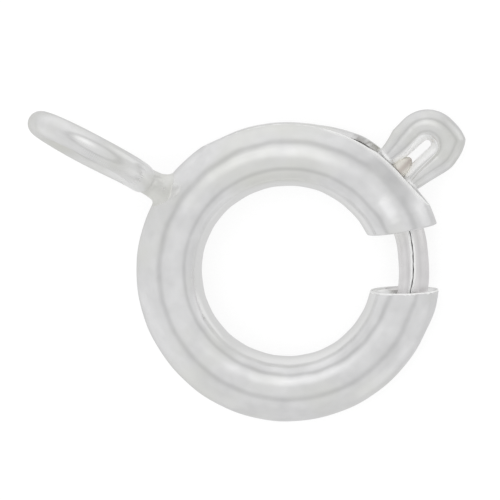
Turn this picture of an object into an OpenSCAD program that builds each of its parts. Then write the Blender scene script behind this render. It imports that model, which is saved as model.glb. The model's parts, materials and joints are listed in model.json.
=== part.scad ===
// Spring ring clasp in polished silver, closed, lying on its side.
// The origin is the ring's centre. Angles about the ring are in degrees from +X, counterclockwise
// seen from above. The attachment loop points along -X, away from the gap.

/* [Ring] */
// Outside diameter of the ring
ring_od = 6; // [5.6:0.1:8]
// Outside diameter of the rolled tube that the ring is bent from
tube_d = 1.3; // [1.2:0.05:1.5]
// Thickness of the tube's wall
tube_wall = 0.15; // [0.1:0.01:0.18]
// How far the slotted half of the ring is sprung outward of a true circle
end_spread = 0.045; // [0.005:0.005:0.08]

/* [Gap] */
// Angle of the middle of the gap
gap_at = 39.9; // [34:0.1:45]
// Width of the gap along the middle of the tube
gap_w = 1.22; // [0.8:0.02:1.4]
// Angle between the two cut ends
gap_flare = 4.4; // [0:0.2:8]
// How far the cuts are turned from the line through the ring's centre
gap_skew = -1.8; // [-4:0.2:4]

/* [Slot] */
// Width of the slot that the trigger slides along
slot_w = 0.47; // [0.46:0.01:0.55]
// Width of the slot where the trigger rests and spreads it
slot_wide_w = 0.62; // [0.6:0.01:0.7]
// Angle of the slot's end near the gap
slot_start = 59.5; // [58.5:0.5:60.5]
// Angle up to which the slot is spread
slot_wide_end = 95; // [91:1:103]
// Angle of the slot's far end
slot_end = 158; // [148:1:161]

/* [Bolt and trigger] */
// Diameter of the seamed wire of the bolt and the trigger
wire_d = 0.59; // [0.5:0.01:0.6]
// Running clearance between the bolt and the outer side of the bore
bolt_clear = 0.025; // [0.02:0.005:0.05]
// How far the bolt's tip reaches into the tube past the gap
bolt_engage = 0.25; // [0.15:0.01:0.5]
// Width of the seam in the wire
seam_w = 0.04; // [0.03:0.01:0.06]
// Depth of the seam in the wire
seam_deep = 0.1; // [0.05:0.01:0.15]
// Angle of the trigger when the clasp is closed
trigger_at = 76.3; // [75:0.1:79]
// Radius of the middle of the wire in the trigger's eye
eye_r = 0.375; // [0.36:0.005:0.45]
// Height of the eye's centre above the outside of the ring
eye_rise = 0.8; // [0.7:0.02:1]
// Diameter of the eye's two feet where they pass the slot
foot_d = 0.42; // [0.36:0.01:0.44]
// Distance between the middles of the two feet
foot_pitch = 0.62; // [0.56:0.01:0.66]

/* [Spring] */
// Diameter of the spring's wire
spring_wire_d = 0.1; // [0.08:0.01:0.12]
// Play between the spring and the bore, on each side
spring_play = 0.07; // [0.04:0.01:0.12]
// Number of turns in the spring
spring_turns = 14; // [10:1:15]
// Gap at each end of the spring
spring_end_gap = 0.03; // [0.02:0.01:0.1]

/* [Attachment loop] */
// Outside diameter of the attachment loop
loop_od = 2.8; // [2.4:0.1:3.4]
// Diameter of the loop's wire
loop_wire_d = 0.5; // [0.4:0.02:0.6]
// Distance between the ring and the loop, filled with solder
loop_gap = 0.18; // [0.1:0.02:0.3]
// How far the loop is turned out of line with the ring's centre
loop_turn = 6.2; // [0:0.1:9]
// How far the loop's top leans towards the trigger's side
loop_lean = 11.4; // [0:0.2:14]
// Diameter of the solder where it meets the ring
solder_d = 0.76; // [0.7:0.02:0.84]
// Diameter of the solder's neck under the loop
neck_d = 0.46; // [0.38:0.02:0.56]

/* [Hidden] */
$fn = 64;
EPS = 0.01;
LEDGE = 0.01;

ring_r = (ring_od - tube_d) / 2;
bore_r = tube_d / 2 - tube_wall;
bolt_r = ring_r + bore_r - bolt_clear - wire_d / 2;
loop_r = (loop_od - loop_wire_d) / 2;
loop_foot = ring_od / 2 + loop_gap;
eye_v = ring_od / 2 + eye_rise;

// The clasp rests on the loop's rim and on the far side of the ring, so the ring leans by this much
loop_reach = loop_foot + loop_od / 2 * cos(loop_turn);
loop_drop = loop_r * cos(loop_lean) + loop_wire_d / 2;
rest_tilt = asin((loop_drop - tube_d / 2) / (loop_reach + ring_r));

// Angles on the bolt's own circle
gap_half_turn = asin(gap_w / 2 / bolt_r);
tip_at = gap_at - gap_half_turn - bolt_engage / bolt_r * 180 / PI;
foot_half_turn = asin((foot_pitch + foot_d) / 2 / (bolt_r - foot_d / 2));
bolt_end_at = trigger_at + foot_half_turn;

// The solder that closes the tube under the loop is the spring's far stop
stop_half_turn = asin(tube_wall / ring_r);
spring_gap_turn = spring_end_gap / ring_r * 180 / PI;
spring_wire_turn = spring_wire_d / 2 / ring_r * 180 / PI;
spring_from = bolt_end_at + spring_gap_turn + spring_wire_turn;
spring_to = 180 - stop_half_turn - spring_gap_turn - spring_wire_turn;
spring_coil_r = bore_r - spring_play - spring_wire_d / 2;
SPRING_STEPS = 14;
SPRING_SIDES = 6;

// Leans the ring as it lies at rest
module at_rest() {
    rotate([0, rest_tilt, 0]) children();
}

// Bends a round bar of radius r along a circle of radius big_r, between two angles
module bent_bar(big_r, r, from, to) {
    rotate([0, 0, from]) rotate_extrude(angle = to - from) translate([big_r, 0]) circle(r = r);
}

// Round bar between two points of the ring's plane, tapered from radius r1 to r2
module straight_bar(p1, p2, r1, r2) {
    run = p2 - p1;
    translate([p1.x, p1.y, 0]) rotate([0, 90, atan2(run.y, run.x)])
        cylinder(h = norm(run), r1 = r1, r2 = r2);
}

// The ring's tube or its bore: half a true circle, and the sprung half that leaves it smoothly at the loop
module ring_path(r) {
    bent_bar(ring_r, r, 180, 360 + gap_at);
    translate([end_spread, 0, 0]) bent_bar(ring_r + end_spread, r, 180, gap_at);
}

// Two saw cuts that leave the gap
module gap_cut() {
    reach = tube_d;
    half_in = gap_w / 2 - reach * tan(gap_flare / 2);
    half_out = gap_w / 2 + reach * tan(gap_flare / 2);
    rotate([0, 0, gap_at]) translate([ring_r, 0, 0]) rotate([0, 0, gap_skew])
        linear_extrude(height = 2 * tube_d, center = true)
            polygon([[-reach, -half_in], [reach, -half_out], [reach, half_out], [-reach, half_in]]);
}

// One stretch of slot through the outer wall, with round ends
module slot_stretch(w, from, to) {
    end_turn = asin(w / ring_od);
    inner = ring_r + bore_r / 2;
    outer = ring_od / 2 + tube_d;
    rotate([0, 0, from + end_turn]) rotate_extrude(angle = to - from - 2 * end_turn)
        translate([inner, -w / 2]) square([outer - inner, w]);
    for (a = [from + end_turn, to - end_turn])
        rotate([0, 0, a]) translate([inner, 0, 0]) rotate([0, 90, 0]) cylinder(h = outer - inner, d = w);
}

module slot_cut() {
    slot_stretch(slot_w, slot_start, slot_end);
    slot_stretch(slot_wide_w, slot_start, slot_wide_end);
}

// Puts a thing that points up on the loop's foot, in line with the loop
module at_loop_foot() {
    translate([-loop_foot, 0, 0]) rotate([0, -90, loop_turn]) children();
}

// Closed ring of round wire that stands across the clasp, for a chain's end link
module attachment_loop() {
    at_loop_foot() translate([0, 0, loop_od / 2]) rotate([90, 0, loop_lean])
        rotate_extrude() translate([loop_r, 0]) circle(d = loop_wire_d);
}

// Solder that flows from the ring's outside to a neck, and on to the middle of the loop's wire
module solder() {
    spread = (solder_d - neck_d) / 2;
    rise = loop_foot - sqrt(pow(ring_od / 2, 2) - pow(solder_d / 2, 2));
    hollow_r = (pow(spread, 2) + pow(rise, 2)) / 2 / spread;
    sunk = ring_r + bore_r / 2;
    below_neck = hollow_r / 3;
    rotate([0, -90, 0]) difference() {
        translate([0, 0, sunk]) cylinder(h = loop_foot - below_neck - sunk, d = solder_d);
        translate([0, 0, loop_foot]) rotate_extrude() translate([neck_d / 2 + hollow_r, 0]) circle(r = hollow_r);
    }
    at_loop_foot() translate([0, 0, sunk - loop_foot])
        cylinder(h = loop_foot - sunk + loop_wire_d / 2, d = neck_d);
}

module spring_stop() {
    bent_bar(ring_r, bore_r + EPS, 180 - stop_half_turn, 180 + stop_half_turn);
}

module ring_body() {
    color("silver") at_rest() {
        difference() {
            union() {
                ring_path(tube_d / 2);
                attachment_loop();
                solder();
            }
            ring_path(bore_r);
            gap_cut();
            slot_cut();
        }
        spring_stop();
    }
}

// Arc of seamed wire that slides in the tube and closes the gap, with a rounded tip
module bolt_arc() {
    difference() {
        union() {
            bent_bar(bolt_r, wire_d / 2, tip_at, bolt_end_at);
            rotate([0, 0, tip_at]) translate([bolt_r, 0, 0]) sphere(d = wire_d - 2 * LEDGE);
        }
        rotate([0, 0, tip_at - gap_half_turn]) rotate_extrude(angle = trigger_at - tip_at)
            translate([bolt_r - seam_w / 2, wire_d / 2 - seam_deep]) square([seam_w, wire_d]);
    }
}

// Eye of the same wire; its two feet are drawn down thinner and pass through the slot to the bolt
module trigger_eye() {
    neck_v = ring_od / 2;
    lean = atan2(eye_r - foot_pitch / 2, eye_rise);
    rotate([0, 0, trigger_at]) {
        translate([eye_v, 0, 0]) bent_bar(eye_r, wire_d / 2, -90 - lean, 90 + lean);
        for (side = [-1, 1]) {
            shoulder = [eye_v, side * eye_r];
            neck = [neck_v, side * foot_pitch / 2];
            foot = [bolt_r, side * foot_pitch / 2];
            straight_bar(neck, shoulder, foot_d / 2, wire_d / 2 - LEDGE);
            straight_bar(foot, neck + [2 * LEDGE, 0], foot_d / 2 - LEDGE, foot_d / 2 - LEDGE);
        }
    }
}

module bolt() {
    color("lightgray") at_rest() {
        bolt_arc();
        trigger_eye();
    }
}

// Point of the spring's wire: k counts steps along the coil, p is a point of the wire's section
function spring_point(k, p) = let (
        share = k / (spring_turns * SPRING_STEPS),
        along = spring_from + (spring_to - spring_from) * share,
        round = 360 * k / SPRING_STEPS,
        reach = spring_coil_r + p.x,
        out = ring_r + reach * cos(round)
    ) [out * cos(along) - p.y * sin(along), out * sin(along) + p.y * cos(along), reach * sin(round)];

// Fine coil spring round the bore, from the bolt's back end to the solder under the loop
module spring() {
    steps = spring_turns * SPRING_STEPS;
    section = [for (i = [0 : SPRING_SIDES - 1])
        spring_wire_d / 2 * [cos(360 * i / SPRING_SIDES), sin(360 * i / SPRING_SIDES)]];
    points = [for (k = [0 : steps]) for (p = section) spring_point(k, p)];
    sides = [for (k = [0 : steps - 1]) for (i = [0 : SPRING_SIDES - 1]) let (
            j = (i + 1) % SPRING_SIDES,
            base = k * SPRING_SIDES
        ) [base + i, base + j, base + SPRING_SIDES + j, base + SPRING_SIDES + i]];
    first = [for (i = [SPRING_SIDES - 1 : -1 : 0]) i];
    last = [for (i = [0 : SPRING_SIDES - 1]) steps * SPRING_SIDES + i];
    color("gray") at_rest() polyhedron(points = points, faces = concat([first], sides, [last]));
}

ring_body();
bolt();
spring();
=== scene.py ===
"""Spring ring clasp in polished silver, closed and lying on its side on a pale floor.

All shapes are worked out in millimetres in the ring's own plane, with its centre at the origin and the loop
along -X, and then leaned by the small angle at which the clasp rests.
"""

import json
import math

import bmesh
import bpy
import numpy as np
from mathutils import Matrix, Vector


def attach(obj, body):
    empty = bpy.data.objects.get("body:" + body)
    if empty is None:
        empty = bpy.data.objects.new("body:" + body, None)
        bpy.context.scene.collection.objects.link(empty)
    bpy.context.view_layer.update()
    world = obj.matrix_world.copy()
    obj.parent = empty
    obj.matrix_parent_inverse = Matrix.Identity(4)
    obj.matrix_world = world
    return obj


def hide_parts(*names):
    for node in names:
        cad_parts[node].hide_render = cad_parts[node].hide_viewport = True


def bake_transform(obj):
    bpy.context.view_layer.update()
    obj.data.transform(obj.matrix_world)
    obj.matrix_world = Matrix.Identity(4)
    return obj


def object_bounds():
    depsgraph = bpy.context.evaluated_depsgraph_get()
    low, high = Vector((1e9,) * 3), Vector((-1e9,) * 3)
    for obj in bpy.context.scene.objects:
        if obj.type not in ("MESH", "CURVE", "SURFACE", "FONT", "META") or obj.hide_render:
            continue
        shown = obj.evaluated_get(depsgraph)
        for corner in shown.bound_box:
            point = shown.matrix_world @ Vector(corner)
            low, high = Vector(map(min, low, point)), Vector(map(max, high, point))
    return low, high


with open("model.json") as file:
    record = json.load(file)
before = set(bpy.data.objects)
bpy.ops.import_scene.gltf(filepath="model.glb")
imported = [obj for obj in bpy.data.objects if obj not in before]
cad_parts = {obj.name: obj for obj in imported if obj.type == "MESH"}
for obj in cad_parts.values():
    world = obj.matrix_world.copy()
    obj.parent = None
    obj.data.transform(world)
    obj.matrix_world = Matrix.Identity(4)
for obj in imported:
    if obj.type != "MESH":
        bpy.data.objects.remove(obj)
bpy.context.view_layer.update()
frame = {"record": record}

# Ring. A strip of sheet silver rolled into a tube 1.3 mm thick and bent round to a ring of 6 mm, sawn open
# at the gap. The rolled seam is left open along the outside as the trigger's slot, and the trigger has
# pushed the slot's lips up.
RING_R, TUBE_R, WALL = 2.35, 0.65, 0.15
# how far the slotted half stands outward, and the share by which the tube's section leans inward
END_SPREAD, SKEW = 0.045, 0.106
# the gap's place and width, how far its two cuts part, and how far both are turned, in degrees
GAP_AT, GAP_W, GAP_FLARE, GAP_SKEW = 39.9, 1.22, 4.4, -1.8
# the slot's ends, its width behind the trigger, and the degrees that each round end takes
SLOT_FROM, SLOT_TO, SLOT_W, SLOT_ROUND = 59.5, 158.0, 0.45, 9.55
# where the wide part by the trigger ends, how wide it is, and the degrees over which it narrows
SLOT_WIDE_TO, SLOT_WIDE_W, SLOT_NECK = 97.0, 0.62, 14.0
# the rounding of the sawn edges, and the bevel of the bore at the gap
LIP_ROUND, BEVEL, BEVEL_LONG = 0.03, 0.10, 0.16
# how wide the raised edge of a lip is, and how far the slot's lips are pushed up, in mm, at these angles
LIP_SPREAD = 0.2
FAR_LIP = (59, 64, 70, 85, 89, 96, 102, 112), (0, 0.015, 0.085, 0.11, 0.11, 0.09, 0.055, 0)
NEAR_LIP = (60, 64, 69, 84, 88, 91, 96), (0.01, 0.045, 0.065, 0.07, 0.065, 0.025, 0)
# how far the tube flares outward by its slotted end, in mm, at these angles
END_FLARE = (51, 55, 60, 64, 69, 73), (0.065, 0.075, 0.08, 0.065, 0.025, 0)
# how far it flares at its other end, from which angle, and over how many degrees
LOW_FLARE, LOW_FLARE_FROM, LOW_FLARE_OVER = 0.045, 368, 14
# the wall's long dents and short ripples
DENT, RIPPLE = 0.0035, 0.002
# the painted shade in the slot, on the far lip's cut face and in the bore beside it: its middle, half its
# length, and over what it fades, in degrees
TORN_AT, TORN_HALF, TORN_FADE = 92.5, 6.5, 3
# colours: the silver and its tarnish; matt white, which stands in for light that the polished metal misses
# (painted light); a painted highlight; and painted shade
SILVER, TARNISHED, PICKLED = (0.92, 0.92, 0.925), (0.885, 0.89, 0.85), (0.93, 0.93, 0.925)
RUBBED, HOLLOW = (0.97, 0.97, 0.965), (0.22, 0.20, 0.17)
# scales of the noise that gives the polishing marks, along the metal and per mm, and of the others, per metre
MARKS_ALONG, PATCH_SCALE, CLOUD_SCALE, UNEVEN_SCALE = 0.7, 620.0, 2300.0, 900.0
lean_sin = frame["record"]["behaviour"]["joints"][0]["axis"][0]
lean_cos = math.sqrt(1 - lean_sin**2)


def at_rest(p):
    """Leans points by the resting angle about Y and turns millimetres to metres."""
    x, y, z = p[..., 0], p[..., 1], p[..., 2]
    return np.stack([x * lean_cos + z * lean_sin, y, z * lean_cos - x * lean_sin], -1) / 1000


def smooth_step(t):
    """0 before 0, 1 after 1, and 3tt - 2ttt between them."""
    t = np.clip(t, 0, 1)
    return t * t * (3 - 2 * t)


def short_way(angle):
    """How far an angle lies from 0, the short way round."""
    return np.abs((angle + math.pi) % (2 * math.pi) - math.pi)


def add_piece(name, body, node, material, patches):
    """Makes one closed mesh from patches. Each patch is (points, run, depth): points is a grid of points in
    mm, run the place along and round the metal in mm, for the polishing marks, and depth is 0 where the metal
    is polished, 1 where its colour is darkest (painted shade in the ring's slot, a dark seam, brown scale),
    -1 where it has a painted highlight and -2 where it is matt white, which stands in for light that the
    polished metal misses. A grid's cell (i, j) is the face between rows i, i + 1 and columns j, j + 1; edges
    that meet are welded. A piece that is blended between two bodies has no body here."""
    points, runs, depths, faces, start = [], [], [], [], 0
    for grid, run, depth in patches:
        rows, cols = grid.shape[:2]
        index = start + np.arange(rows * cols).reshape(rows, cols)
        corners = index[:-1, :-1], index[1:, :-1], index[1:, 1:], index[:-1, 1:]
        faces.append(np.stack(corners, -1).reshape(-1, 4))
        points.append(at_rest(grid).reshape(-1, 3))
        runs.append(np.broadcast_to(run, grid.shape).reshape(-1, 3))
        depths.append(np.broadcast_to(depth, (rows, cols)).ravel())
        start += rows * cols
    mesh = bpy.data.meshes.new(name)
    mesh.from_pydata(np.concatenate(points).tolist(), [], np.concatenate(faces).tolist())
    run_values = mesh.attributes.new("run", "FLOAT_VECTOR", "POINT")
    run_values.data.foreach_set("vector", np.concatenate(runs).ravel())
    depth_values = mesh.attributes.new("depth", "FLOAT", "POINT")
    depth_values.data.foreach_set("value", np.concatenate(depths))
    welded = bmesh.new()
    welded.from_mesh(mesh)
    bmesh.ops.remove_doubles(welded, verts=welded.verts, dist=2e-7)
    bmesh.ops.dissolve_degenerate(welded, edges=welded.edges, dist=1e-8)
    bmesh.ops.recalc_face_normals(welded, faces=welded.faces)
    welded.to_mesh(mesh)
    welded.free()
    mesh.shade_smooth()
    mesh.materials.append(material)
    piece = bpy.data.objects.new(name, mesh)
    bpy.context.scene.collection.objects.link(piece)
    if body:
        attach(piece, body)
    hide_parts(node)
    return piece


def silver(name, light, tarnish, deep, rough, mark_size, bump, metal=1.0, seed=0.0, pickled=True):
    """Polished silver: fine marks that run along the metal, a faint unevenness, clouds a little lighter and
    darker, warm tarnish in patches, the colour deep where depth is 1, a painted highlight at -1 and, where
    the piece has it, matt white metal at -2, which stands in for light that the polished metal misses:
    painted light. Lengths are in mm; seed moves the patches."""
    material = bpy.data.materials.new(name)
    material.use_nodes = True
    nodes, links = material.node_tree.nodes, material.node_tree.links
    shader = nodes["Principled BSDF"]

    def node(kind, **values):
        made = nodes.new(kind)
        for key, value in values.items():
            setattr(made, key, value)
        return made

    def noise(source, scale, detail, roughness):
        made = node("ShaderNodeTexNoise", noise_dimensions="4D")
        made.inputs["W"].default_value = seed
        made.inputs["Scale"].default_value = scale
        made.inputs["Detail"].default_value = detail
        made.inputs["Roughness"].default_value = roughness
        links.new(source, made.inputs["Vector"])
        return made.outputs["Fac"]

    def spread(source, low, high, to_low=0.0, to_high=1.0):
        made = node("ShaderNodeMapRange", clamp=True)
        for key, value in zip(("From Min", "From Max", "To Min", "To Max"), (low, high, to_low, to_high)):
            made.inputs[key].default_value = value
        links.new(source, made.inputs["Value"])
        return made.outputs["Result"]

    def mix(factor, *colours):
        made = node("ShaderNodeMix", data_type="RGBA")
        links.new(factor, made.inputs[0])
        for socket, value in zip((made.inputs[6], made.inputs[7]), colours):
            if isinstance(value, tuple):
                socket.default_value = (*value, 1)
            else:
                links.new(value, socket)
        return made.outputs[2]

    def plus(*values):
        made = node("ShaderNodeMath", operation="ADD")
        for socket, value in zip(made.inputs, values):
            links.new(value, socket)
        return made.outputs[0]

    place = node("ShaderNodeTexCoord").outputs["Object"]
    run = node("ShaderNodeAttribute", attribute_name="run").outputs["Vector"]
    depth = node("ShaderNodeAttribute", attribute_name="depth").outputs["Fac"]
    stretch = node("ShaderNodeVectorMath", operation="MULTIPLY")
    links.new(run, stretch.inputs[0])
    stretch.inputs[1].default_value = (MARKS_ALONG, 1 / mark_size, 1 / mark_size)
    marks = noise(stretch.outputs["Vector"], 1.0, detail=3.0, roughness=0.6)
    patches = noise(place, PATCH_SCALE, detail=3.0, roughness=0.55)
    clouds = noise(place, CLOUD_SCALE, detail=2.0, roughness=0.5)
    darker, lighter = (tuple(c * share for c in light) for share in (0.94, 1.04))
    colour = mix(spread(clouds, 0.35, 0.65), darker, lighter)
    colour = mix(spread(patches, 0.48, 0.72), colour, tarnish)
    colour = mix(spread(depth, 0.0, 1.0), colour, deep)
    colour = mix(spread(depth, 0.0, -1.0), colour, RUBBED)
    roughness = plus(spread(marks, 0.3, 0.75, *rough), spread(depth, 0.0, 1.0, 0.0, 0.35))
    # matt white at -2: painted light
    if pickled:
        white = spread(depth, -1.0, -2.0)
        colour = mix(white, colour, PICKLED)
        roughness = plus(roughness, spread(white, 0.0, 1.0, 0.0, 0.5))
        links.new(spread(white, 0.0, 1.0, metal, 0.1), shader.inputs["Metallic"])
    else:
        shader.inputs["Metallic"].default_value = metal
    links.new(colour, shader.inputs["Base Color"])
    links.new(roughness, shader.inputs["Roughness"])
    uneven = node("ShaderNodeBump")
    uneven.inputs["Distance"].default_value = bump / 1000
    links.new(noise(place, UNEVEN_SCALE, detail=2.0, roughness=0.45), uneven.inputs["Height"])
    fine = node("ShaderNodeBump")
    marks_deep = 0.0004
    fine.inputs["Distance"].default_value = marks_deep / 1000
    links.new(marks, fine.inputs["Height"])
    links.new(uneven.outputs["Normal"], fine.inputs["Normal"])
    links.new(fine.outputs["Normal"], shader.inputs["Normal"])
    return material


def cut_angle(side, rho, shift):
    """Angle at which the saw's plane crosses a circle of radius rho round (shift, 0). The plane's trace in
    the ring's plane is the line n.p = c, so the angle is that of n less arccos((c - n.x shift) / rho)."""
    flare = math.radians(side * GAP_FLARE / 2)
    turn = math.radians(GAP_AT + GAP_SKEW)
    run_dir = np.array([math.cos(turn + flare), math.sin(turn + flare)])
    middle = RING_R * np.array([math.cos(math.radians(GAP_AT)), math.sin(math.radians(GAP_AT))])
    start = middle + side * GAP_W / 2 * np.array([-math.sin(turn), math.cos(turn)])
    normal = np.array([-run_dir[1], run_dir[0]])
    reach = np.arccos((normal @ start - normal[0] * shift) / rho)
    return math.atan2(normal[1], normal[0]) - reach


def slot_half_width(theta):
    """Half the slot's width in mm at an angle in degrees: wide by the trigger, narrow behind it, round at
    both ends as sqrt(1 - (1 - t)(1 - t)), with t from 0 to 1 over the end's length."""
    narrow = smooth_step((theta - SLOT_WIDE_TO) / SLOT_NECK + 1)
    half = (SLOT_WIDE_W + (SLOT_W - SLOT_WIDE_W) * narrow) / 2
    inside = np.minimum(theta - SLOT_FROM, SLOT_TO - theta) / SLOT_ROUND
    return half * np.sqrt(1 - (1 - np.clip(inside, 0, 1)) ** 2)


def slot_rows():
    """Angles in degrees of the ring's rows: even steps, and close ones in the slot's two round ends."""
    first, last, step, margin = 51.0, 389.0, 1.2, 0.5
    steps = SLOT_ROUND * (1 - np.cos(np.linspace(0, math.pi / 2, 15)))
    even = np.arange(first, last, step)
    for middle in (SLOT_FROM + SLOT_ROUND / 2, SLOT_TO - SLOT_ROUND / 2):
        even = even[np.abs(even - middle) > SLOT_ROUND / 2 + margin]
    return np.sort(np.concatenate([even, SLOT_FROM + steps, SLOT_TO - steps]))


def tube_point(theta, phi, depth):
    """Point of the tube's wall: theta along the ring, phi round the tube from its outermost line, depth into
    the wall. The slotted half is a circle of a slightly larger radius whose centre is moved as much, so its
    end stands outward. The section leans a little inward, z = r sin(phi)(1 - SKEW cos(phi)), as a bent
    tube's does. The slot's lips rise towards their edge as exp(-(distance / LIP_SPREAD) squared), the far
    lip more than the near one. Both ends flare on their outer side, and the slotted one on its upper side
    too. Sine waves along and round the tube dent it."""
    theta, phi, depth = np.broadcast_arrays(theta, phi, depth)
    degrees = np.degrees(theta)
    out = np.where(degrees < 180, END_SPREAD, 0.0)
    half = slot_half_width(degrees)
    far_rise, near_rise = np.interp(degrees, *FAR_LIP), np.interp(degrees, *NEAR_LIP)
    rise = near_rise + (far_rise - near_rise) * smooth_step(0.5 - 3 * np.sin(phi))
    from_lip = short_way(phi) * TUBE_R - half
    rise = rise * np.exp(-((from_lip / LIP_SPREAD) ** 2)) * smooth_step(half / 0.15)
    dent = DENT * (np.sin(5 * theta + 1.3 + 2 * np.sin(phi)) + np.sin(11 * theta + 0.4 + phi) * 0.5)
    dent += RIPPLE * np.sin(23 * theta - 2 * phi + 0.7)
    low_flare = LOW_FLARE * smooth_step((degrees - LOW_FLARE_FROM) / LOW_FLARE_OVER)
    upper = np.clip(np.sin(phi), 0, 1)
    flare = low_flare * smooth_step(0.5 + np.cos(phi))
    flare += np.interp(degrees, *END_FLARE) * (0.5 + 0.5 * np.cos(phi) + 0.5 * upper**2)
    r = TUBE_R + rise + dent + flare - depth
    rho = RING_R + out + r * np.cos(phi)
    up = r * np.sin(phi) * (1 - SKEW * np.cos(phi))
    return np.stack([out + rho * np.cos(theta), rho * np.sin(theta), up], -1)


def run_on_ring(theta, phi):
    """Place for the marks: mm along the ring, and the two sides of the tube's section."""
    theta, phi = np.broadcast_arrays(theta, phi)
    return np.stack([RING_R * theta, TUBE_R * np.cos(phi), TUBE_R * np.sin(phi)], -1)


def ring_patches():
    """Outer and inner wall, the slot's two lips and the two sawn ends, all with rounded edges."""
    low = cut_angle(-1, RING_R, 0) + 2 * math.pi
    high = cut_angle(1, RING_R, END_SPREAD)
    rows = np.radians(slot_rows())
    close = np.linspace(0, BEVEL_LONG / RING_R, 8)
    margin, cut_fade = 0.008, 0.45
    rows = rows[(rows > high + close[-1] + margin) & (rows < low - close[-1] - margin)]
    rows = np.concatenate([high + close, rows, low - close[::-1]])
    from_end = np.minimum(rows - high, low - rows)[:, None] * RING_R
    bevel = BEVEL * smooth_step(1 - from_end / BEVEL_LONG)
    fade_high = 1 - smooth_step((rows - high) / cut_fade)
    fade_low = 1 - smooth_step((low - rows) / cut_fade)

    def bend_to_cuts(phi, inset):
        """Moves the rows near each cut along the ring, so that the first and last lie in the saw's plane."""
        reach = (TUBE_R - WALL / 2) * np.cos(phi)
        to_high = cut_angle(1, RING_R + END_SPREAD + reach, END_SPREAD) - high + inset / (RING_R + reach)
        to_low = cut_angle(-1, RING_R + reach, 0) + 2 * math.pi - low - inset / (RING_R + reach)
        return rows[:, None] + fade_high[:, None] * to_high + fade_low[:, None] * to_low

    at_slot = bend_to_cuts(np.zeros((len(rows), 1)), LIP_ROUND)
    half = slot_half_width(np.degrees(at_slot[:, 0]))
    lip = np.arcsin(half / TUBE_R)
    setback = np.minimum(LIP_ROUND / TUBE_R, lip * 0.5)

    # columns from lip to lip, closer together by the lips
    t = np.linspace(-1, 1, 97)
    first, last = (lip + setback)[:, None], (2 * math.pi - lip - setback)[:, None]
    phi = first + (last - first) * (0.5 + 0.175 * np.sin(t * math.pi / 2) + 0.325 * t)
    theta = bend_to_cuts(phi, LIP_ROUND)

    # matt white in the bore, which stands in for the light it catches: painted light; at the bevels a painted
    # highlight, and under the painted shade in the slot polished, so it mirrors the dark inside; a painted
    # highlight in a line beside the near lip, and painted light on the inside of the ring
    degrees = np.degrees(theta)
    torn = smooth_step((TORN_HALF - np.abs(degrees - TORN_AT)) / TORN_FADE)
    in_bore = -2 + smooth_step(1.6 - from_end / BEVEL_LONG) + 1.2 * torn
    from_line = phi * TUBE_R - half[:, None] - 0.05
    by_trigger = smooth_step(half[:, None] / 0.1) * smooth_step((115 - degrees) / 8)
    by_thumb = np.exp(-((from_line / 0.055) ** 2)) * by_trigger
    by_chain = smooth_step((-np.cos(phi) - 0.72) / 0.15)
    run = run_on_ring(theta, phi)
    patches = [
        (tube_point(theta, phi, 0.0), run, -1.9 * by_thumb - 0.99 * by_chain),
        (tube_point(theta, phi, WALL - bevel), run, in_bore),
    ]

    # across an edge, from the outside to the bore: a quarter round, the flat, and another quarter round
    arc = np.linspace(0, math.pi / 2, 5)
    back = np.concatenate([1 - np.sin(arc), 1 - np.sin(arc[::-1])])
    deep = np.concatenate([LIP_ROUND * (1 - np.cos(arc)), WALL - LIP_ROUND * (1 - np.cos(arc[::-1]))])
    # the outer round of an edge is matt white: a painted highlight
    white_rim = np.where(deep < LIP_ROUND, -2.0, 0.0)

    # the slot's near lip has a matt white rim, a painted highlight; the far one has a painted highlight on
    # its edge, a little painted shade on its cut face, and mottled painted shade where the slot is shaded
    in_slot = np.flatnonzero(half > 0)
    span = slice(in_slot[0] - 1, in_slot[-1] + 2)
    for side in (1, -1):
        edge = side * (lip[:, None] + setback[:, None] * back)
        along, edge = bend_to_cuts(edge, LIP_ROUND)[span], edge[span]
        pitted = 0.28 + 0.4 * np.sin(190 * along + 40 * deep) * np.sin(70 * along - 60 * deep)
        shade = white_rim if side > 0 else np.where(deep < 0.02, -0.6, 0.1 + torn[span, :1] * pitted)
        patches.append((tube_point(along, edge % (2 * math.pi), deep), run_on_ring(along, edge), shade))

    # the two sawn ends, thinner by the bevel; only the lower one has a matt white rim, a painted highlight
    thinner = deep * (WALL - BEVEL) / WALL
    for row, shade in ((0, 0.0), (-1, white_rim)):
        phi_end = phi[row][:, None]
        flat = np.stack([bend_to_cuts(phi[row][None, :], LIP_ROUND * b)[row] for b in back], -1)
        patches.append((tube_point(flat, phi_end, thinner), run_on_ring(flat, phi_end), shade))
    return patches


ring_silver = silver(
    "ring_silver", light=SILVER, tarnish=TARNISHED, deep=HOLLOW, rough=(0.12, 0.24),
    mark_size=0.035, bump=0.010)
add_piece("ring_tube", "ring", "ring_body", ring_silver, ring_patches())

# Attachment loop. Round silver wire, 0.5 mm thick, bent into a closed ring of 2.8 mm. It is soldered on
# opposite the gap, across the clasp, and leans a little.
LOOP_OD, LOOP_WIRE = 2.8, 0.5
LOOP_FOOT, LOOP_TURN, LOOP_LEAN = 3.18, math.radians(6.2), math.radians(11.4)
# how much thicker the wire is at the foot, over what angle, and where on the loop a painted highlight sits
FOOT_BULGE, FOOT_BULGE_TURN = 0.06, 0.6
RUBBED_AT = 1.72


def from_loop_foot(side, up, out):
    """Point given by its distances sideways, up and outward (turned from -X) from the loop's foot."""
    c, s = math.cos(LOOP_TURN), math.sin(LOOP_TURN)
    return np.stack(np.broadcast_arrays(-LOOP_FOOT - out * c - side * s, -out * s + side * c, up), -1)


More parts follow.
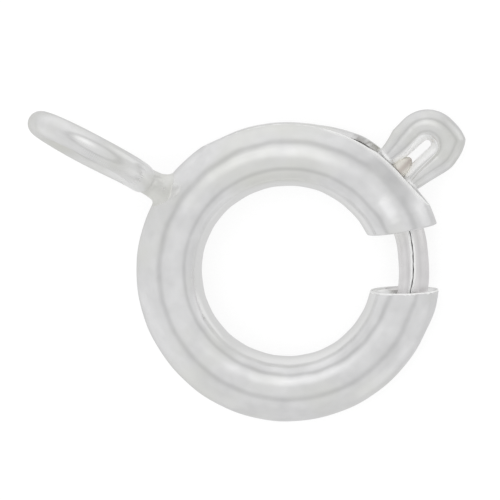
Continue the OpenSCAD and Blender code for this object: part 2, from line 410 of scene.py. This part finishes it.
def loop_patches():
    """Torus: the wire's section goes round a circle of the loop's middle radius, and the whole leans about
    the line from the foot outward. By the foot the wire is thicker on its lower side."""
    u = np.linspace(0, 2 * math.pi, 161)[:, None]
    v = np.linspace(0, 2 * math.pi, 49)[None, :]
    middle, section, uneven = (LOOP_OD - LOOP_WIRE) / 2, LOOP_WIRE / 2, 0.003
    wire = section - uneven + uneven * np.sin(3 * u + 0.8) * np.cos(v - u)
    near_foot = np.exp(-((short_way(u) / FOOT_BULGE_TURN) ** 2))
    wire = wire + FOOT_BULGE * near_foot * np.clip(-np.sin(v), 0, 1)
    reach = middle + wire * np.cos(v)
    side, up = wire * np.sin(v), reach * np.sin(u)
    lean_s, lean_c = math.sin(LOOP_LEAN), math.cos(LOOP_LEAN)
    out = LOOP_OD / 2 - reach * np.cos(u)
    points = from_loop_foot(side * lean_c + up * lean_s, up * lean_c - side * lean_s, out)
    run = np.stack(np.broadcast_arrays(middle * u, section * np.cos(v), section * np.sin(v)), -1)
    # a painted highlight on the loop's wire
    rubbed = np.exp(-(((u - RUBBED_AT) / 0.22) ** 2) - (short_way(v) / 0.45) ** 2)
    # by the foot the wire has a painted highlight and is partly matt white: painted light, standing in for
    # the light that the ring and the solder reflect onto it
    at_foot = smooth_step((1.3 - short_way(u)) / 0.9)
    return [(points, run, np.minimum(-rubbed, -1.3 * at_foot))]


loop_silver = silver(
    "loop_silver", light=(0.93, 0.93, 0.93), tarnish=(0.86, 0.863, 0.81), deep=HOLLOW, rough=(0.16, 0.3),
    mark_size=0.03, bump=0.012, seed=5.0)
add_piece("attachment_loop", "ring", "ring_body", loop_silver, loop_patches())

# Solder. The hard solder that joins the loop to the ring. It has drawn up into a hollow neck and into the
# loop's wire, and its skin is a little rough and speckled.
NECK_R, FOOT_Y, FOOT_Z = 0.235, 0.40, 0.47
# how much wider the neck is on its lower side in the picture, and how far short of the loop's foot it ends
NECK_SIDE, NECK_BACK = 0.07, 0.015
# the row of points from which the skin is lumpy
LUMPS_FROM = 20


def on_ring(side, up, sunk):
    """Point of the ring's outside near the loop, by its distances sideways and up, sunk into the wall."""
    rho = RING_R + np.sqrt((TUBE_R - sunk) ** 2 - up**2)
    return np.stack([-np.sqrt(rho**2 - side**2), side, up], -1)


def disc(rim, count):
    """Flat disc that closes a tube: count rings of points, from the rim's middle out to the rim."""
    middle = rim.mean(0)
    return np.linspace(0, 1, count)[:, None, None] * (rim - middle) + middle


def solder_patches():
    """A fillet from the ring to the neck, then into the loop's wire. The fillet is a Hermite curve for each
    angle round the neck: it leaves the ring's outside along it and reaches the neck along the loop's
    direction."""
    turn = np.linspace(0, 2 * math.pi, 97)
    lump = 1 + 0.03 * np.sin(3 * turn + 1.0) + 0.02 * np.sin(5 * turn)
    side, up = FOOT_Y * lump * np.cos(turn), FOOT_Z * lump * np.sin(turn)
    edge_sunk, root_sunk = 0.004, 0.1
    foot = on_ring(side, up, edge_sunk)
    leave = on_ring(side * 0.98, up * 0.98, edge_sunk) - foot
    leave *= 0.27 / np.linalg.norm(leave, axis=1)[:, None]
    wide = NECK_R + NECK_SIDE * smooth_step(0.3 - np.cos(turn))
    neck = from_loop_foot(wide * np.cos(turn), NECK_R * np.sin(turn), -NECK_BACK)
    arrive = 0.3 * (from_loop_foot(0, 0, 1) - from_loop_foot(0, 0, 0))
    t = np.linspace(0, 1, 33)[:, None, None]
    fillet = (2 * t**3 - 3 * t**2 + 1) * foot + (t**3 - 2 * t**2 + t) * leave
    fillet = fillet + (3 * t**2 - 2 * t**3) * neck + (t**3 - t**2) * arrive
    above = np.linspace(0, 1, 17)[1:, None]
    narrowed, raised = wide - 0.03 * above, NECK_R + 0.2 * above**1.5
    into_wire = from_loop_foot(narrowed * np.cos(turn), raised * np.sin(turn), 0.26 * above - NECK_BACK)
    points = np.concatenate([on_ring(side, up, root_sunk)[None], fillet, into_wire])
    lumps = 0.006 * np.sin(9 * turn[:, None] + 12 * points[LUMPS_FROM:, :, :1]) * np.cos(4 * turn)[:, None]
    points[LUMPS_FROM:] += lumps * [0, 1, 1]
    caps = [(disc(rim, 9), np.zeros(3), 0.0) for rim in (points[0], points[-1])]
    return [(points, points * 0.5, 0.0)] + caps


solder_silver = silver(
    "solder_silver", light=(0.88, 0.88, 0.86), tarnish=(0.77, 0.775, 0.715), deep=(0.2, 0.18, 0.15),
    rough=(0.25, 0.45), mark_size=0.06, bump=0.03, metal=0.85, pickled=False)
add_piece("solder_neck", "ring", "ring_body", solder_silver, solder_patches())

# Bolt. Round wire 0.6 mm thick, rolled from strip so that a fine black seam runs along it. It slides in the
# tube and closes the gap; its tip is rounded to find the tube's far end.
WIRE_R, BOLT_R = 0.3, 2.53
BOLT_TIP, BOLT_END = 20.2, 89.0
# how far the bolt is set outward in the slotted half, from which angle and over how many degrees
BOLT_OUT, BOLT_OUT_FROM, BOLT_OUT_OVER = 0.03, 38, 14
# the seam's half width and depth, and its place round the wire at these angles along the ring, in degrees
SEAM_HALF, SEAM_DEEP = 0.0055, 0.08
SEAM_PLACE = (26, 33, 39, 47, 54), (96, 91, 88, 86, 81)


def wire_section(turn, seam_at, seam_half, seam_deep):
    """The wire's seam: a groove at the angle seam_at whose edges round over, with a painted highlight in a
    line on each side. Returns how far the surface lies below the wire's round, in mm, and its depth as
    add_piece takes it."""
    away = short_way(turn - seam_at) * WIRE_R
    groove = 1 - smooth_step((away - seam_half * 0.55) / (seam_half * 0.9))
    shoulder = 0.006 * np.exp(-((away / 0.03) ** 2))
    # a painted highlight in a line on each side of the seam
    shine = -2 * np.exp(-(((away - 0.034) / 0.02) ** 2))
    return groove * seam_deep + shoulder, np.where(groove > 0.05, smooth_step((groove - 0.05) / 0.5), shine)


def turns_from_seam(count):
    """Angles round the wire from its seam, close together at the seam: u less 0.93 sin(u)."""
    u = np.linspace(-math.pi, math.pi, count)
    return u - 0.93 * np.sin(u)


def bolt_patches():
    """Arc of the seamed section round the ring's centre, closed at the tip by a half ball and at the back by
    a disc. The seam wanders a little, by sine waves of the angle along the ring."""
    ball = np.linspace(0, math.pi / 2, 13)[:-1]
    tip = math.radians(BOLT_TIP)
    arc = np.linspace(tip, math.radians(BOLT_END), 120)
    theta = np.concatenate([tip - WIRE_R / BOLT_R * np.cos(ball), arc])[:, None]
    degrees = np.degrees(theta)
    seam_at = np.radians(np.interp(degrees, *SEAM_PLACE))
    seam_at = seam_at + 0.010 * np.sin(31 * theta) + 0.006 * np.sin(97 * theta + 1)
    turn = turns_from_seam(97) + seam_at
    taken, dark = wire_section(turn, seam_at, SEAM_HALF * (1 + 0.3 * np.sin(63 * theta + 0.5)), SEAM_DEEP)
    r = (WIRE_R - taken) * np.concatenate([np.sin(ball), np.ones(len(arc))])[:, None]
    reach = BOLT_R + BOLT_OUT * smooth_step((degrees - BOLT_OUT_FROM) / BOLT_OUT_OVER) + r * np.cos(turn)
    points = np.stack([reach * np.cos(theta), reach * np.sin(theta), r * np.sin(turn)], -1)
    run = np.stack(np.broadcast_arrays(BOLT_R * theta, WIRE_R * np.cos(turn), WIRE_R * np.sin(turn)), -1)
    return [(points, run, dark), (disc(points[-1], 6), np.zeros(3), 0.3)]


bolt_silver = silver(
    "bolt_silver", light=(0.95, 0.935, 0.94), tarnish=(0.93, 0.925, 0.895), deep=(0.03, 0.028, 0.025),
    rough=(0.26, 0.36), mark_size=0.03, bump=0.006)
add_piece("bolt_wire", "bolt", "bolt", bolt_silver, bolt_patches())

# Trigger. The same seamed wire folded into a small eye for the thumbnail. Its two feet are drawn down
# thinner and pass through the slot to the bolt; a web of brown scale fills the corner between them.
TRIGGER_AT = 76.25
# the radius of the eye's bend, its distance from the ring's centre, and the wire's radius at its top
EYE_R, EYE_V, EYE_TOP_R = 0.375, 3.8, 0.305
# at these distances from the ring's centre: half the distance between the limbs, and the wire's radius
LIMB_V = 2.53, 2.86, 2.965, 3.02, 3.08, 3.34, 3.8
LIMB_HALF = 0.335, 0.342, 0.345, 0.34, 0.335, 0.334, 0.377
LIMB_R = 0.17, 0.185, 0.19, 0.203, 0.215, 0.255, 0.30
# the section's height over its width
LIMB_TALL = 0.85, 0.86, 0.93, 1.38, 1.35, 1.18, 1.0
# the seam's place round the wire, in degrees, at these shares of the way from foot to foot
EYE_SEAM = (0, 0.16, 0.3, 0.5, 0.7, 0.84, 1), (20, 25, 58, 50, 72, 84, 86)
# blunt corners: at which share of the way, over what share on each side, and how far out in mm
CORNERS = (0.564, 0.065, 0.085), (0.26, 0.1, 0.04)


def from_trigger_foot(v, side, up):
    """Point given by its distance v from the ring's centre along the trigger's line, and sideways and up
    from that line."""
    c, s = math.cos(math.radians(TRIGGER_AT)), math.sin(math.radians(TRIGGER_AT))
    return np.stack(np.broadcast_arrays(v * c - side * s, v * s + side * c, up), -1)


def trigger_patches():
    """Wire swept along its middle line: a foot, a limb that leans out, half a turn of the eye, and back. The
    section stays square to the line, in the ring's plane and up from it, and is taller than wide in the
    limbs. Knocks have left blunt corners on the eye. Inside the eye and at the slot the wire is matt white,
    and towards the eye's top mostly polished with a painted highlight: painted light that stands in for the
    light the facing limbs reflect onto each other."""
    bend = np.linspace(math.pi / 2, -math.pi / 2, 61)
    arc = np.stack([EYE_V + EYE_R * np.cos(bend), EYE_R * np.sin(bend)], -1)
    v = np.linspace(LIMB_V[0], EYE_V, 60)[:-1]
    # each table is averaged over 0.18 mm, which rounds its corners
    soft = np.linspace(-0.09, 0.09, 9)[:, None]
    limb = np.stack([v, np.interp(v + soft, LIMB_V, LIMB_HALF).mean(0)], -1)
    line = np.concatenate([limb, arc, limb[::-1] * [1, -1]])
    gone = np.concatenate([[0], np.cumsum(np.linalg.norm(np.diff(line, axis=0), axis=1))])
    share = (gone / gone[-1])[:, None]
    ahead = np.gradient(line, gone, axis=0)
    ahead /= np.linalg.norm(ahead, axis=1)[:, None]
    inward = np.stack([ahead[:, 1], -ahead[:, 0]], -1)
    top = smooth_step((line[:, 0] - EYE_V - 0.05) / 0.3)
    r = np.interp(line[:, 0] + soft, LIMB_V, LIMB_R).mean(0)
    r = (r + (EYE_TOP_R - LIMB_R[-1]) * top)[:, None]
    seam_at = np.radians(np.interp(share, *EYE_SEAM))
    turn = turns_from_seam(97) + seam_at
    taken, dark = wire_section(turn, seam_at, 0.012, 0.007)
    corner = sum(out * np.clip(1 - np.abs(share - at) / over, 0, 1) ** 1.4 for at, over, out in CORNERS)
    corner = corner * np.clip(-np.cos(turn), 0, 1) ** 3
    reach = r - taken * r / WIRE_R + corner
    sideways = line[:, None, :] + (reach * np.cos(turn))[:, :, None] * inward[:, None, :]
    taller = np.interp(line[:, :1], LIMB_V, LIMB_TALL)
    points = from_trigger_foot(sideways[..., 0], sideways[..., 1], taller * reach * np.sin(turn))
    run = np.stack(np.broadcast_arrays(gone[:, None], r * np.cos(turn), r * np.sin(turn)), -1)
    # matt white inside the eye and at the slot, with a painted highlight towards the eye's top: painted light
    in_eye = smooth_step((np.cos(turn) - 0.35) / 0.3)
    at_slot = smooth_step((3.12 - line[:, :1]) / 0.08)
    matt = (2 - 0.85 * top[:, None]) * np.maximum(in_eye, at_slot)
    ends = [(disc(rim, 5), np.zeros(3), 1.0) for rim in (points[0], points[-1])]
    return [(points, run, np.clip(dark, 0, 0.15) - matt)] + ends


def web_patches():
    """Brown scale and solder left between the two feet: an egg along v, less tall inside the slot than
    outside it, and browner along its middle, where the scale's own brown is deepened by painted shade of the
    pocket between the feet."""
    middle, half_long, half_wide = 3.05, 0.31, 0.19
    u, w = np.linspace(0, 2 * math.pi, 49)[:, None], np.linspace(0, math.pi, 25)[None, :]
    v = middle + half_long * np.cos(w)
    side = half_wide * np.sin(w) * np.cos(u) * (1 - 0.25 * np.cos(w))
    half_tall = 0.16 + 0.13 * smooth_step((v - 2.97) / 0.06)
    points = from_trigger_foot(v, side, half_tall * np.sin(w) * np.sin(u))
    # browner along the middle: the scale's own colour and painted shade of the pocket
    brown = np.exp(-(((side + 0.02) / 0.07) ** 2))
    return [(points, points * 0.5, brown)]


trigger_silver = silver(
    "trigger_silver", light=(0.89, 0.89, 0.89), tarnish=(0.85, 0.855, 0.79), deep=(0.42, 0.37, 0.31),
    rough=(0.2, 0.28), mark_size=0.04, bump=0.012)
web_scale = silver(
    "web_scale", light=(0.88, 0.86, 0.80), tarnish=(0.84, 0.81, 0.74), deep=(0.58, 0.53, 0.49),
    rough=(0.5, 0.6), mark_size=0.05, bump=0.02, metal=0.2, pickled=False)
add_piece("trigger_web", "bolt", "bolt", web_scale, web_patches())
add_piece("trigger_eye", "bolt", "bolt", trigger_silver, trigger_patches())

# Spring. Fine drawn steel wire coiled inside the tube, between the bolt's back end and the solder that closes
# the tube under the loop. It shortens when the bolt is drawn back.
SPRING_FROM, SPRING_TO = 91.2, 174.4
# the wire's radius, the radius of the coil's middle line, the turns, and the rows of points in each
SPRING_WIRE, SPRING_COIL, SPRING_TURNS, STEPS_A_TURN = 0.05, 0.38, 14, 28


def spring_patches():
    """Helix round the tube's middle line, swept by a small circle and closed by a disc at each end."""
    t = np.linspace(0, 1, SPRING_TURNS * STEPS_A_TURN + 1)
    along = np.radians(SPRING_FROM + (SPRING_TO - SPRING_FROM) * t)
    coil = 2 * math.pi * SPRING_TURNS * t
    v = np.linspace(0, 2 * math.pi, 13)[None, :]
    reach = SPRING_COIL + SPRING_WIRE * np.cos(v)
    out = RING_R + reach * np.cos(coil)[:, None]
    ahead = SPRING_WIRE * np.sin(v)
    a = along[:, None]
    up = reach * np.sin(coil)[:, None]
    points = np.stack([out * np.cos(a) - ahead * np.sin(a), out * np.sin(a) + ahead * np.cos(a), up], -1)
    run = np.stack(np.broadcast_arrays(coil[:, None] * SPRING_COIL, ahead, reach - SPRING_COIL), -1)
    return [(points, run, 0.0)] + [(disc(rim, 3), np.zeros(3), 0.0) for rim in (points[0], points[-1])]


spring_steel = silver(
    "spring_steel", light=(0.36, 0.35, 0.33), tarnish=(0.20, 0.17, 0.13), deep=(0.05, 0.04, 0.03),
    rough=(0.22, 0.4), mark_size=0.02, bump=0.002, pickled=False)
spring = add_piece("coil_spring", None, "spring", spring_steel, spring_patches())


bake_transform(spring)

# Floor, lights and camera. A plain pale floor lit from below, and a white tent over the clasp. The tent's
# round opening overhead has a soft dark edge, which draws the dark lines in the polished metal.


def light_table():
    """Opal sheet lit from below: matt, pale, and almost evenly bright."""
    material = bpy.data.materials.new("light_table")
    material.use_nodes = True
    shader = material.node_tree.nodes["Principled BSDF"]
    shader.inputs["Base Color"].default_value = (0.28, 0.28, 0.28, 1)
    shader.inputs["Roughness"].default_value = 0.7
    shader.inputs["Specular IOR Level"].default_value = 0.1
    shader.inputs["Emission Color"].default_value = (1, 1, 1, 1)
    shader.inputs["Emission Strength"].default_value = 0.78
    return material


bpy.ops.mesh.primitive_plane_add(size=2.0, location=(0, 0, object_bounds()[0].z))
floor = bpy.context.object
floor.name = "floor"
floor.data.materials.append(light_table())
floor.visible_glossy = False


def tilted(lean_degrees, towards_degrees):
    """Unit vector that leans from the ring's normal towards an angle in the ring's plane, at rest."""
    lean, towards = math.radians(lean_degrees), math.radians(towards_degrees)
    flat = math.sin(lean)
    return at_rest(np.array([flat * math.cos(towards), flat * math.sin(towards), math.cos(lean)])) * 1000


# where the middle of the tent's opening is: how far from overhead, and towards which angle
OPENING_LEAN, OPENING_TOWARDS = 7.6, 77
# the light at these degrees from there
TENT = (0, 0.73), (34, 0.72), (48.8, 0.565), (62, 0.70), (90, 0.67), (180, 0.67)
# brighter places: how far from overhead, towards which angle, and (degrees away, light added)
BRIGHTER = (
    (27, 133, ((0, 0.26), (10, 0.16), (28, 0.0))),
    (22, 168, ((0, 0.06), (8, 0.04), (22, 0.0))),
    (100, 138, ((0, 0.16), (25, 0.12), (62, 0.0))),
    (100, 255, ((0, 0.05), (20, 0.04), (45, 0.0))),
    (100, 223, ((0, 0.07), (25, 0.05), (60, 0.0))),
    (98, 60, ((0, 0.19), (14, 0.14), (30, 0.0))),
    (95, 346, ((0, 0.13), (12, 0.08), (30, 0.0))),
)


def white_tent():
    """The tent's light from each way: a ramp over the angle from the opening's middle, which gives the
    opening a soft dark edge, plus a ramp over the angle from the middle of each brighter place."""
    world = bpy.data.worlds.new("white_tent")
    world.use_nodes = True
    nodes, links = world.node_tree.nodes, world.node_tree.links
    way = nodes.new("ShaderNodeTexCoord").outputs["Generated"]

    def angle_from(axis):
        dot = nodes.new("ShaderNodeVectorMath")
        dot.operation = "DOT_PRODUCT"
        links.new(way, dot.inputs[0])
        dot.inputs[1].default_value = tuple(axis)
        angle = nodes.new("ShaderNodeMath")
        angle.operation = "ARCCOSINE"
        links.new(dot.outputs["Value"], angle.inputs[0])
        turned = nodes.new("ShaderNodeMath")
        turned.operation = "MULTIPLY"
        turned.inputs[1].default_value = 1 / math.pi
        links.new(angle.outputs[0], turned.inputs[0])
        return turned.outputs[0]

    def ramp(source, stops):
        made = nodes.new("ShaderNodeValToRGB")
        made.color_ramp.interpolation = "EASE"
        elements = made.color_ramp.elements
        while len(elements) < len(stops):
            elements.new(0.5)
        for element, (degrees, value) in zip(elements, stops):
            element.position = degrees / 180
            element.color = (value, value, value, 1)
        links.new(source, made.inputs["Fac"])
        return made.outputs["Color"]

    light = ramp(angle_from(tilted(OPENING_LEAN, OPENING_TOWARDS)), TENT)
    for lean, towards, stops in BRIGHTER:
        total = nodes.new("ShaderNodeVectorMath")
        total.operation = "ADD"
        links.new(light, total.inputs[0])
        links.new(ramp(angle_from(tilted(lean, towards)), stops), total.inputs[1])
        light = total.outputs["Vector"]
    links.new(light, nodes["Background"].inputs["Color"])
    return world


bpy.context.scene.world = white_tent()

# a lamp for what is matt; the polished metal doesn't mirror it
key = bpy.data.lights.new("overhead", "AREA")
key.size = 0.6
key.energy = 1.0
key_light = bpy.data.objects.new("overhead", key)
key_light.location = (0, 0, 0.5)
key_light.visible_glossy = False
bpy.context.scene.collection.objects.link(key_light)

# how far the picture is turned against the ring, how far the camera leans from overhead, and towards which
# angle in the picture, in degrees
PHOTO_TURN, CAMERA_LEAN, CAMERA_TOWARDS = 33.5, 7.5, 62
# the picture's scale, the pixel of the ring's centre, and the picture's side in pixels
PIXELS_PER_MM, RING_PIXEL, PICTURE = 50.28, (287.0, 271.5), 500
# the camera's distance and its sensor's width, in mm
CAMERA_AWAY, SENSOR = 250.0, 36.0
view_way = tilted(CAMERA_LEAN, CAMERA_TOWARDS + PHOTO_TURN)
picture_up = tilted(90, 90 + PHOTO_TURN)
right = np.cross(picture_up, view_way)
right /= np.linalg.norm(right)
up = np.cross(view_way, right)
aim = (right * (PICTURE / 2 - RING_PIXEL[0]) + up * (RING_PIXEL[1] - PICTURE / 2)) / PIXELS_PER_MM
camera_data = bpy.data.cameras.new("camera")
camera_data.sensor_width = SENSOR
camera_data.lens = SENSOR * CAMERA_AWAY * PIXELS_PER_MM / PICTURE
camera_data.clip_start, camera_data.clip_end = 0.001, 10.0
camera = bpy.data.objects.new("camera", camera_data)
placed = (aim + view_way * CAMERA_AWAY) / 1000
camera.matrix_world = Matrix([*np.stack([right, up, view_way, placed], -1).tolist(), [0, 0, 0, 1]])
bpy.context.scene.collection.objects.link(camera)
bpy.context.scene.camera = camera
bpy.context.scene.view_settings.view_transform = "Standard"
